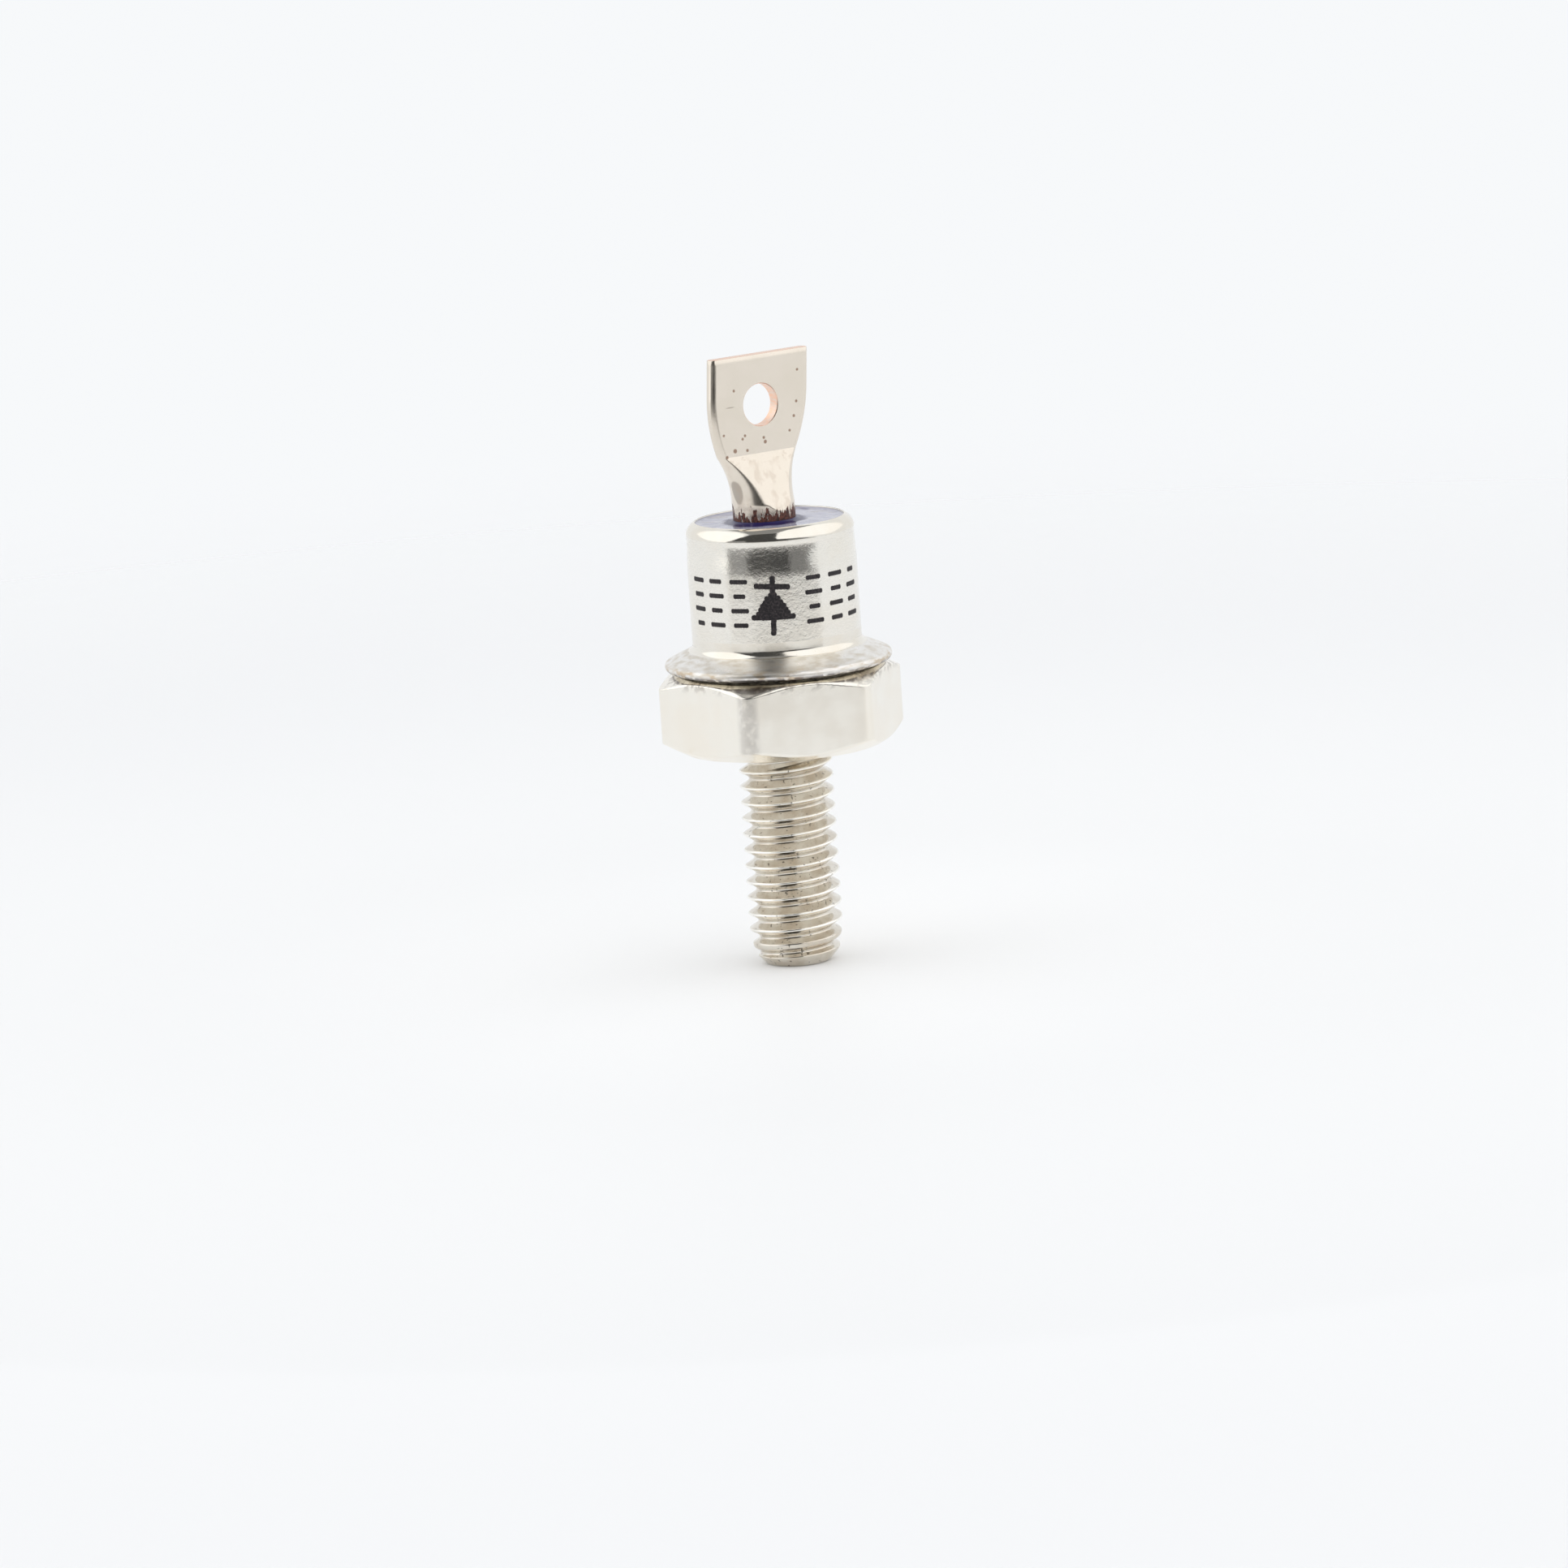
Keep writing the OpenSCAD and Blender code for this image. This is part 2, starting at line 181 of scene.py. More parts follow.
RIGHT_SOFTBOX = [
    (11, 0.13, 0.999), (26, 0.11, 0.999), (54, 0.12, 0.999), (75, 0.14, 0.999), (100, 0.26, 0.999),
    (125, 0.35, 0.999), (150, 0.75, 0.999)
]
HAZE_DISTANCE = 600
GAP_DISTANCE = 620
SOFTBOX_DISTANCE = 680
FRONT_GAP_LEVEL = 0.05
GAP_HAZE_LEVEL = 0.28
RIGHT_HAZE_LEVEL = 0.2
TOP_GAP_LEVEL = 0.26
LEFT_LEVEL = 1.25
RIGHT_LEVEL = 1.19
LEFT_GROUND = [(98, 0.95), (175, 0.90), (195, 0.40), (260, 0.40)]
RIGHT_GROUND = [(98, 0.95), (175, 0.88), (190, 0.04), (260, 0.04)]
GROUND_TURNS = (-64, -27, 63)
GROUND_LIFT = 0.4
FLOOR_RADII = (0.1, 20, 60, 100, 150, 200, 260)
WORLD_COLOUR = (0.93, 0.945, 0.96)
WORLD_ON_PART = 0.93
WORLD_SEEN = 1.0


def clamp(value, low=0.0, high=1.0):
    return max(low, min(high, value))


def soft_min(a, b, width):
    """Smaller of two values, with the corner between them rounded over a width."""
    h = max(width - abs(a - b), 0.0) / width
    return min(a, b) - h * h * width / 4


def tan_deg(angle):
    return math.tan(math.radians(angle))


def circle(cx, cy, r, z, count):
    """Ring of points about an upright axis."""
    angles = [2 * math.pi * i / count for i in range(count)]
    return [(cx + r * math.cos(a), cy + r * math.sin(a), z) for a in angles]


def smooth(value, low, high):
    """0 below low, 1 above high, and a smooth step between."""
    t = clamp((value - low) / (high - low))
    return t * t * (3 - 2 * t)


def arc(cx, cz, r, start, end, steps=10):
    """Points of an arc, in degrees, as (radius, height) pairs."""
    angles = [math.radians(start + (end - start) * i / steps) for i in range(steps + 1)]
    return [(cx + r * math.cos(a), cz + r * math.sin(a)) for a in angles]


def spaced(start, end, step):
    """Points from start to end, both included, about a step apart."""
    length = math.dist(start, end)
    count = max(1, round(length / step))
    return [
        (start[0] + (end[0] - start[0]) * i / count, start[1] + (end[1] - start[1]) * i / count)
        for i in range(count + 1)
    ]


def rounded(points, radius, steps=5):
    """Open polyline with its inner corners rounded by a small radius."""
    result = [points[0]]
    for before, corner, after in zip(points, points[1:], points[2:]):
        a = Vector(before) - Vector(corner)
        b = Vector(after) - Vector(corner)
        if a.angle(b) > math.radians(175):
            result.append(corner)
            continue
        cut = min(radius / math.tan(a.angle(b) / 2), a.length * 0.45, b.length * 0.45)
        p = Vector(corner) + a.normalized() * cut
        q = Vector(corner) + b.normalized() * cut
        for i in range(steps + 1):
            t = i / steps
            point = p * (1 - t) ** 2 + Vector(corner) * 2 * t * (1 - t) + q * t ** 2
            result.append(tuple(point))
    return result + [points[-1]]


def filled(points, step):
    """Polyline with its long stretches divided."""
    result = [points[0]]
    for start, end in zip(points, points[1:]):
        result += spaced(start, end, step)[1:]
    return result


def link_object(name, mesh):
    obj = bpy.data.objects.new(name, mesh)
    bpy.context.scene.collection.objects.link(obj)
    return obj


def skin(name, rings, materials, wrap=False, slot_of=None, caps=(True, True)):
    """Smooth mesh through closed rings of millimetre points. It closes on itself or has flat caps."""
    n = len(rings[0])
    verts = [Vector(p) * MM for ring in rings for p in ring]
    faces = []
    slots = []
    for k in range(len(rings) if wrap else len(rings) - 1):
        low = k * n
        high = (k + 1) % len(rings) * n
        for i in range(n):
            j = (i + 1) % n
            faces.append((low + i, low + j, high + j, high + i))
            slots.append(slot_of(k) if slot_of else 0)
    if caps[0] and not wrap:
        faces.append(tuple(reversed(range(n))))
        slots.append(slots[0])
    if caps[1] and not wrap:
        faces.append(tuple((len(rings) - 1) * n + i for i in range(n)))
        slots.append(slots[n * (len(rings) - 1) - 1])
    mesh = bpy.data.meshes.new(name)
    mesh.from_pydata(verts, [], faces)
    mesh.polygons.foreach_set("material_index", slots)
    mesh.polygons.foreach_set("use_smooth", [True] * len(faces))
    for material in materials:
        mesh.materials.append(material)
    mesh.validate()
    return link_object(name, mesh)


def finish_piece(obj, *nodes, slot=None):
    """Rides a piece on the body, in place of the CAD nodes that it stands for."""
    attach(obj, BODY)
    if nodes:
        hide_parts(*nodes)
    return obj


# Materials

class Shader:
    """A material's node tree with short calls for what repeats."""

    def __init__(self, name, **sockets):
        self.material = bpy.data.materials.new(name)
        self.material.use_nodes = True
        self.tree = self.material.node_tree
        self.surface = self.tree.nodes["Principled BSDF"]
        for socket, value in sockets.items():
            self.surface.inputs[socket.replace("_", " ")].default_value = value
        self.place = self.add("ShaderNodeTexCoord").outputs["Object"]

    def add(self, kind, **values):
        """New node; a value that is a socket is linked, and any other is set."""
        node = self.tree.nodes.new(kind)
        for key, value in values.items():
            if hasattr(node, key):
                setattr(node, key, value)
                continue
            socket = node.inputs[int(key[1:])] if key[1:].isdigit() else node.inputs[key.replace("_", " ")]
            self.put(socket, value)
        return node

    def put(self, socket, value):
        if isinstance(value, bpy.types.NodeSocket):
            self.tree.links.new(value, socket)
        else:
            socket.default_value = value

    def noise(self, size, detail=3.0, stretch=(1, 1, 1), rough=0.5, offset=0.0):
        """Noise whose features are about a size in millimetres, from 0 to 1."""
        place = self.add(
            "ShaderNodeMapping", Vector=self.place, Scale=stretch, Location=(offset, offset, offset)
        ).outputs[0]
        node = self.add(
            "ShaderNodeTexNoise", Vector=place, Scale=1 / (size * MM), Detail=detail, Roughness=rough
        )
        return node.outputs[0]

    def ramp(self, value, low, high, start=0.0, end=1.0):
        """Value mapped smoothly from low..high to start..end."""
        node = self.add(
            "ShaderNodeMapRange", interpolation_type="SMOOTHSTEP", Value=value,
            From_Min=low, From_Max=high, To_Min=start, To_Max=end,
        )
        return node.outputs[0]

    def math(self, operation, a, b=0.0):
        return self.add("ShaderNodeMath", operation=operation, _0=a, _1=b).outputs[0]

    def mix(self, factor, a, b):
        """Colour a where the factor is 0, and b where it is 1."""
        node = self.add("ShaderNodeMix", data_type="RGBA")
        self.put(node.inputs[0], factor)
        self.put(node.inputs[6], a if isinstance(a, bpy.types.NodeSocket) else (*a, 1))
        self.put(node.inputs[7], b if isinstance(b, bpy.types.NodeSocket) else (*b, 1))
        return node.outputs[2]

    def axis(self, letter):
        split = self.add("ShaderNodeSeparateXYZ", Vector=self.place)
        return split.outputs[letter]

    def flat_place(self, letter):
        """Object place with one coordinate set to zero."""
        split = self.add("ShaderNodeSeparateXYZ", Vector=self.place)
        kept = {axis: split.outputs[axis] for axis in "XYZ" if axis != letter}
        return self.add("ShaderNodeCombineXYZ", **kept).outputs[0]

    def length(self, vector):
        return self.add("ShaderNodeVectorMath", operation="LENGTH", _0=vector).outputs["Value"]

    def from_axis(self):
        """Distance from the part's axis."""
        return self.length(self.flat_place("Z"))

    def share(self, factor, amount):
        """Factor scaled to an amount."""
        return self.math("MULTIPLY", factor, amount)

    def blot(self, centre, size, soft):
        """Soft-edged oval about a place in millimetres: 1 inside and 0 outside."""
        place = self.add(
            "ShaderNodeVectorMath", operation="SUBTRACT", _0=self.place, _1=tuple(c * MM for c in centre)
        ).outputs[0]
        place = self.add(
            "ShaderNodeVectorMath", operation="DIVIDE", _0=place, _1=tuple(c * MM for c in size)
        ).outputs[0]
        return self.ramp(self.length(place), 1.0, soft)

    def specks(self, size, amount, offset=0.0):
        """Small spots: 1 inside them and 0 outside."""
        return self.ramp(self.noise(size, 2.0, offset=offset), 1 - amount, 1 - amount + 0.03)

    def bump(self, height, depth, normal=None):
        """Bump of a depth in millimetres, on top of an earlier one."""
        node = self.add("ShaderNodeBump", Height=height, Distance=depth * MM, Strength=1.0)
        if normal is not None:
            self.put(node.inputs["Normal"], normal)
        return node.outputs[0]

    def done(self, colour, roughness=None, normal=None):
        self.put(self.surface.inputs["Base Color"], colour)
        if roughness is not None:
            self.put(self.surface.inputs["Roughness"], roughness)
        if normal is not None:
            self.put(self.surface.inputs["Normal"], normal)
        return self.material


def make_materials():
    """All materials by name."""
    return {
        "hex": hex_material(),
        "thread": thread_material(),
        "wall": wall_material(),
        "shoulder": shoulder_material(),
        "flange": flange_material(),
        "lug": lug_material(),
        "copper": copper_material(),
        "lacquer": lacquer_material(),
        "ink": ink_material(),
    }


def hex_material():
    """Satin plate of the hexagon: worn at the front corner, tan along its lower edge, and painted shade in
    patches at the top, under the flange.
    """
    s = Shader("satin_nickel", Metallic=1.0)
    cloud = s.noise(2.6, 4.0)
    fine = s.noise(0.2, 3.0)
    colour = s.mix(s.ramp(cloud, 0.35, 0.68), (0.905, 0.875, 0.805), (0.90, 0.855, 0.77))
    radius = s.from_axis()
    corner = s.ramp(radius, (HEX_CORNER_R - 0.28) * MM, (HEX_CORNER_R - 0.04) * MM)
    corner = s.math("MULTIPLY", corner, s.blot(*WORN_CORNER, 0.75))
    corner = s.math("MULTIPLY", corner, s.ramp(s.noise(0.5, 4.0, offset=1.0), 0.25, 0.6, 0.2, 0.7))
    colour = s.mix(corner, colour, (0.56, 0.53, 0.49))
    low = s.ramp(s.axis("Z"), 1.0 * MM, 0.15 * MM)
    tint = s.math("MULTIPLY", low, s.ramp(s.noise(1.6, 3.0, offset=2.0), 0.5, 0.66))
    colour = s.mix(s.share(tint, 0.7), colour, (0.72, 0.60, 0.44))
    # Painted shade: the top of the hexagon, under the flange, is darkened in patches.
    high = s.ramp(s.axis("Z"), (HEX_H - 0.85) * MM, (HEX_H - 0.15) * MM)
    dark_patches = s.math("MULTIPLY", high, s.ramp(s.noise(0.7, 5.0, offset=5.0), 0.5, 0.62))
    colour = s.mix(s.share(dark_patches, 0.6), colour, (0.34, 0.30, 0.26))
    colour = s.mix(s.share(s.specks(0.13, 0.2, 3.1), 0.6), colour, WORN)
    return s.done(colour, s.ramp(cloud, 0.3, 0.7, 0.17, 0.23), s.bump(fine, 0.0012))


def thread_material():
    """Bright plate of the thread, with a painted highlight along the crests, and nicked here and there."""
    s = Shader("bright_thread", Metallic=1.0)
    cloud = s.noise(1.1, 4.0)
    fine = s.noise(0.12, 4.0)
    nicks = s.noise(0.4, 4.0, offset=8.0)
    colour = s.mix(s.ramp(cloud, 0.35, 0.68), (0.76, 0.72, 0.645), (0.66, 0.60, 0.51))
    radius = s.from_axis()
    # Painted highlight: the base colour is lighter along the thread's crests.
    crest_highlight = s.ramp(radius, (THREAD_R - 0.09) * MM, (THREAD_R - 0.03) * MM)
    colour = s.mix(crest_highlight, colour, (0.96, 0.94, 0.89))
    colour = s.mix(s.share(s.specks(0.22, 0.33, 3.1), 0.8), colour, (0.08, 0.065, 0.05))
    normal = s.bump(nicks, 0.006, s.bump(fine, 0.003))
    return s.done(colour, s.ramp(cloud, 0.3, 0.7, 0.10, 0.18), normal)


def wall_material():
    """Matt plate of the cap's wall: a sandy grain with faint lines round it."""
    s = Shader("matt_nickel", Metallic=1.0)
    cloud = s.noise(2.0, 4.0)
    sand = s.noise(0.22, 4.0, rough=0.66)
    waves = s.noise(0.8, 3.0, offset=4.0)
    lines = s.noise(0.5, 3.0, stretch=(0.35, 0.35, 3.0), offset=1.0)
    colour = s.mix(s.ramp(cloud, 0.35, 0.68), (0.85, 0.825, 0.765), (0.845, 0.81, 0.735))
    colour = s.mix(s.share(s.ramp(sand, 0.5, 0.72), 0.12), colour, (0.60, 0.56, 0.50))
    colour = s.mix(s.share(s.specks(0.12, 0.2, 3.1), 0.5), colour, WORN)
    normal = s.bump(lines, 0.0008, s.bump(waves, 0.004, s.bump(sand, 0.007)))
    return s.done(colour, s.ramp(cloud, 0.3, 0.7, 0.10, 0.15), normal)


def shoulder_material():
    """Bright plate of the rounded shoulder and the root of the flange."""
    s = Shader("bright_nickel", Metallic=1.0)
    warm = (0.81, 0.76, 0.67)
    cloud = s.noise(2.2, 4.0)
    fine = s.noise(0.5, 3.0)
    colour = s.mix(s.ramp(cloud, 0.35, 0.68), (0.84, 0.81, 0.74), warm)
    colour = s.mix(s.share(s.ramp(fine, 0.25, 0.8), 0.25), colour, warm)
    colour = s.mix(s.share(s.specks(0.16, 0.24, 3.1), 0.6), colour, WORN)
    return s.done(colour, s.ramp(cloud, 0.3, 0.7, 0.08, 0.17), s.bump(fine, 0.0015))


def flange_material():
    """Weld flange: drawn steel, greyer, with streaks along its rim, heat tint, and painted shade in patches
    on the rim's underside.
    """
    s = Shader("weld_flange", Metallic=1.0)
    streak = s.noise(0.9, 4.0, stretch=(1, 1, 4))
    colour = s.mix(s.ramp(streak, 0.35, 0.7), (0.85, 0.83, 0.80), (0.70, 0.65, 0.57))
    tan = s.ramp(s.noise(1.3, 3.0, stretch=(1, 1, 3), offset=9.0), 0.52, 0.66)
    outer = s.ramp(s.axis("Z"), (LAND_Z + 0.75) * MM, (LAND_Z + 0.45) * MM)
    colour = s.mix(s.share(s.math("MULTIPLY", tan, outer), 0.7), colour, (0.55, 0.42, 0.27))
    # Painted shade: the lower half of the rim is darkened nearly to black in noisy patches.
    low = s.ramp(s.axis("Z"), (LAND_Z + 0.30) * MM, (LAND_Z + 0.06) * MM)
    rim_shade = s.math("MULTIPLY", low, s.ramp(s.noise(0.5, 4.0, offset=7.0), 0.36, 0.54))
    colour = s.mix(s.share(rim_shade, 0.85), colour, (0.08, 0.065, 0.07))
    return s.done(colour, s.ramp(streak, 0.3, 0.7, 0.27, 0.42), s.bump(streak, 0.006))


def lug_material():
    """Plated copper lug: pinkish beige, brown specks, a scratch, and flux stains at the neck."""
    s = Shader("plated_lug", Metallic=1.0)
    cloud = s.noise(1.8, 4.0)
    fine = s.noise(0.16, 3.0)
    z = s.axis("Z")
    colour = s.mix(s.ramp(cloud, 0.35, 0.7), (0.79, 0.72, 0.63), (0.765, 0.70, 0.605))
    colour = s.mix(s.share(s.specks(0.2, 0.22, 1.7), 0.5), colour, (0.36, 0.26, 0.19))
    flat = s.flat_place("Y")
    front = s.ramp(s.axis("Y"), -0.2 * MM, -0.35 * MM)
    soil = 0.0
    for x, height, r in LUG_SPECKS:
        speck = (x * MM, 0, height * MM)
        away = s.add("ShaderNodeVectorMath", operation="DISTANCE", _0=flat, _1=speck).outputs["Value"]
        away = s.math("ADD", away, s.share(fine, 0.05 * MM))
        soil = s.math("MAXIMUM", s.ramp(away, (r + 0.10) * MM, (r + 0.02) * MM), soil)
    colour = s.mix(s.share(s.math("MULTIPLY", soil, front), 0.8), colour, (0.24, 0.12, 0.07))
    scratch = s.blot(SCRATCH_PLACE, SCRATCH_SIZE, 0.5)
    colour = s.mix(s.share(scratch, 0.6), colour, (0.30, 0.25, 0.21))
    oval = s.blot(WORN_PLACE, WORN_SIZE, 0.75)
    colour = s.mix(s.share(oval, 0.85), colour, (0.40, 0.355, 0.31))
    dark_patches = s.ramp(z, (CREASE_Z - 0.9) * MM, (CREASE_Z - 0.3) * MM)
    dark_patches = s.math("MULTIPLY", dark_patches, s.ramp(z, CREASE_Z * MM, (CREASE_Z - 0.1) * MM))
    dark_patches = s.math("MULTIPLY", dark_patches, s.ramp(s.noise(0.5, 4.0, offset=6.0), 0.52, 0.62))
    colour = s.mix(s.share(dark_patches, 0.3), colour, (0.55, 0.45, 0.36))
    smear = s.ramp(s.noise(0.6, 4.0, stretch=(1, 1, 0.5), offset=3.0), 0.5, 0.68)
    smear = s.math("MULTIPLY", smear, s.ramp(z, CREASE_Z * MM, (CREASE_Z - 0.6) * MM))
    colour = s.mix(s.share(smear, 0.3), colour, (0.50, 0.40, 0.32))

    streaks = s.noise(0.30, 5.0, stretch=(1, 1, 0.32), offset=4.0, rough=0.6)
    limit = s.ramp(z, (LIP_Z - 0.6) * MM, (LIP_Z + 2.5) * MM, 0.32, 1.0)
    tall = s.ramp(s.noise(1.3, 2.0, stretch=(1, 1, 0.3), offset=11.0), 0.45, 0.62, 0.0, 0.16)
    stain = s.ramp(s.math("SUBTRACT", s.math("ADD", streaks, tall), limit), 0.0, 0.035)
    rust = s.mix(s.ramp(fine, 0.35, 0.6), (0.03, 0.010, 0.008), (0.15, 0.05, 0.03))
    colour = s.mix(stain, colour, rust)
    s.put(s.surface.inputs["Metallic"], s.ramp(stain, 0.2, 0.8, 1.0, 0.0))
    roughness = s.math("ADD", s.ramp(cloud, 0.3, 0.7, 0.19, 0.26), s.share(stain, 0.3))
    return s.done(colour, roughness, s.bump(stain, 0.03, s.bump(fine, 0.002)))


def copper_material():
    """Bare copper of the pierced hole and the sheared top edge."""
    s = Shader("bare_copper", Metallic=1.0)
    grain = s.noise(0.12, 3.0, stretch=(1, 0.3, 1))
    colour = s.mix(s.ramp(grain, 0.3, 0.7), (0.93, 0.60, 0.44), (0.86, 0.70, 0.60))
    return s.done(colour, s.ramp(grain, 0.3, 0.7, 0.28, 0.42), s.bump(grain, 0.006))


def lacquer_material():
    """Violet lacquer, darker where it is thick round the tube."""
    s = Shader("violet_lacquer", Metallic=0.0)
    cloud = s.noise(0.8, 4.0)
    x = s.math("SUBTRACT", s.axis("X"), TUBE_X * MM)
    radius = s.math("SQRT", s.math("ADD", s.math("POWER", x, 2.0), s.math("POWER", s.axis("Y"), 2.0)))
    colour = s.mix(s.ramp(cloud, 0.3, 0.7), (0.32, 0.32, 0.44), (0.42, 0.42, 0.52))
    wet = s.math("ADD", s.math("MULTIPLY", cloud, 0.9 * MM), (TUBE_R + 0.1) * MM)
    halo = s.ramp(s.math("SUBTRACT", radius, wet), 0.35 * MM, -0.15 * MM)
    colour = s.mix(halo, colour, (0.02, 0.015, 0.09))
    return s.done(colour, s.ramp(halo, 0.0, 1.0, 0.09, 0.30), s.bump(cloud, 0.015))


def ink_material():
    """Matt black marking ink, a little worn."""
    s = Shader("marking_ink", Metallic=0.0)
    fine = s.noise(0.12, 3.0)
    colour = s.mix(s.ramp(fine, 0.4, 0.75), (0.012, 0.010, 0.012), (0.05, 0.04, 0.042))
    s.surface.inputs["Specular IOR Level"].default_value = 0.3
    return s.done(colour, s.ramp(fine, 0.3, 0.7, 0.5, 0.65), s.bump(fine, 0.004))


# Base: stud, hexagon, land and pedestal

def thread_radius(azimuth, z):
    """Radius of the rolled right-hand thread."""
    turn = (z - CREST_Z) / PITCH - (azimuth - CREST_AZIMUTH) / 360
    from_crest = abs(turn - round(turn)) * PITCH
    fall = (math.hypot(from_crest, CREST_SOFT) - CREST_SOFT) / tan_deg(THREAD_HALF_ANGLE)
    return THREAD_R - soft_min(fall, THREAD_DEPTH, ROOT_SOFT)


def stud_radius(azimuth, z):
    """Thread between the plain shank and the chamfered end."""
    r = thread_radius(azimuth, z)
    r += (THREAD_R - r) * smooth(z, -SHANK_LEN - SHANK_BLEND, -SHANK_LEN)
    lead = THREAD_R - LEAD_LEN * tan_deg(LEAD_ANGLE)
    chamfer_top = END_Z + (lead - END_R) / tan_deg(END_ANGLE)
    r = soft_min(r, lead + (z - chamfer_top) * tan_deg(LEAD_ANGLE), END_SOFT)
    return soft_min(r, END_R + (z - END_Z) * tan_deg(END_ANGLE), END_SOFT)


def flat_distance(azimuth):
    """Distance from the axis to the hexagon's flats, at an azimuth."""
    from_flat = (azimuth - HEX_TURN) % 60 - 30
    return HEX_AF / 2 / math.cos(math.radians(from_flat))


def base_azimuths():
    """Azimuths of the rings' points, close together at the hexagon's corners."""
    steps = [0, 0.7, 1.4, 2.1, 2.8, 3.6, 4.6, 6, 8, 11, 14, 17, 20, 23, 26, 30]
    half = [a for a in steps if a < 30]
    sector = half + [60 - a for a in reversed(steps) if a > 0]
    return [HEX_TURN + 60 * k + a for k in range(6) for a in sorted(sector)]


def base_profile():
    """Half section above the stud: seating face, chamfers, sides, top, land and pedestal."""
    slope = tan_deg(HEX_CHAMFER)
    corner_low = (HEX_CORNER_R - HEX_SEAT_R) * slope
    corner_high = HEX_H - (HEX_CORNER_R - HEX_TOP_R) * slope
    outline = [(THREAD_R, 0), (HEX_SEAT_R, 0), (HEX_CORNER_R, corner_low), (HEX_CORNER_R, corner_high)]
    outline += [(HEX_TOP_R, HEX_H), (LAND_R, HEX_H), (LAND_R, LAND_Z), (PEDESTAL_R, LAND_Z)]
    outline += [(PEDESTAL_R, PEDESTAL_Z), (PEDESTAL_R - 1, PEDESTAL_Z)]
    outline = rounded(outline, PROFILE_SOFT)
    rows = [outline[0]]
    for start, end in zip(outline, outline[1:]):
        chamfer = min(start[0], end[0]) > HEX_SEAT_R - 0.2 and abs(start[0] - end[0]) > 0.2
        rows += spaced(start, end, 0.045 if chamfer else 0.5)[1:]
    return rows


def make_base(m):
    """Threaded stud and hexagon as one turned piece."""
    azimuths = base_azimuths()
    units = [(a, math.cos(math.radians(a)), math.sin(math.radians(a))) for a in azimuths]
    stud_rows = [END_Z + STUD_STEP * i for i in range(1, round(-END_Z / STUD_STEP))]
    rings = [[(r * c, r * s, END_Z) for a, c, s in units] for r in (1.0, END_R - 0.06)]
    for z in stud_rows:
        rings.append([(stud_radius(a, z) * c, stud_radius(a, z) * s, z) for a, c, s in units])
    stud_count = len(rings)
    for rho, z in base_profile():
        ring = []
        for a, c, s in units:
            r = soft_min(rho, flat_distance(a), EDGE_SOFT) if rho > LAND_R + 0.2 else rho
            ring.append((r * c, r * s, z))
        rings.append(ring)
    obj = skin(
        "threaded_stud_base", rings, [m["thread"], m["hex"]], slot_of=lambda k: 0 if k < stud_count else 1
    )
    return finish_piece(obj, "stud_base")


# Cap shell

def make_cap(m):
    """Drawn shell with its shoulder, bore and weld flange."""
    rim_r = FLANGE_T / 2
    rim_x = FLANGE_R - rim_r
    rim_z = LAND_Z + rim_r
    normal = 90 - FLANGE_SLOPE
    slope = tan_deg(FLANGE_SLOPE)
    end_x = rim_x + rim_r * math.cos(math.radians(normal))
    end_z = rim_z + rim_r * math.sin(math.radians(normal))
    root_x = CAP_R + ROOT_R * (1 - math.cos(math.radians(normal)))
    root_z = end_z + (end_x - root_x) * slope + ROOT_R * math.sin(math.radians(normal))
    shoulder_x = CAP_R - SHOULDER_R
    lip_angle = math.degrees(math.acos((BORE_R - shoulder_x) / SHOULDER_R))
    shoulder_z = LIP_Z - SHOULDER_R * math.sin(math.radians(lip_angle))

    flange = arc(rim_x, rim_z, rim_r, -90, normal, 16)
    root = arc(CAP_R + ROOT_R, root_z, ROOT_R, 180 + normal, 180, 12)
    shoulder = arc(shoulder_x, shoulder_z, SHOULDER_R, 0, lip_angle, 20)
    cone = filled([flange[-1], root[0]], 0.25)[1:-1]
    outer = flange + cone + root
    flange_end = len(flange) + len(cone)
    root_end = len(outer)
    outer += filled([root[-1], (CAP_R, NECKING_Z)], 0.5)[1:]
    outer += filled([(CAP_R, NECKING_Z), shoulder[0]], 0.06)[1:-1]
    wall_end = len(outer)
    outer += shoulder + [(BORE_R - 0.02, LIP_Z - 0.06)]
    outline = outer + filled([(BORE_R, LIP_Z - 0.2), (BORE_R, LAND_Z)], 1.0)

    def slot_of(k):
        if k < flange_end:
            return 2
        if k < root_end:
            return 1
        return 0 if k < wall_end else 1

    def drawn_in(rho, z):
        """Radius with the wall drawn in a little below the shoulder."""
        if rho < BORE_R + 0.05 or z < NECKING_Z:
            return rho
        back = NECKING_BACK * smooth(z, NECKING_DEEP_Z, NECKING_END_Z)
        return rho - NECKING * smooth(z, NECKING_Z, NECKING_DEEP_Z) + back

    rings = [circle(0, 0, drawn_in(rho, z), z, 192) for rho, z in outline]
    materials = [m["wall"], m["shoulder"], m["flange"]]
    obj = skin("cap_shell_finished", rings, materials, wrap=True, slot_of=slot_of)
    return finish_piece(obj, "cap_shell")


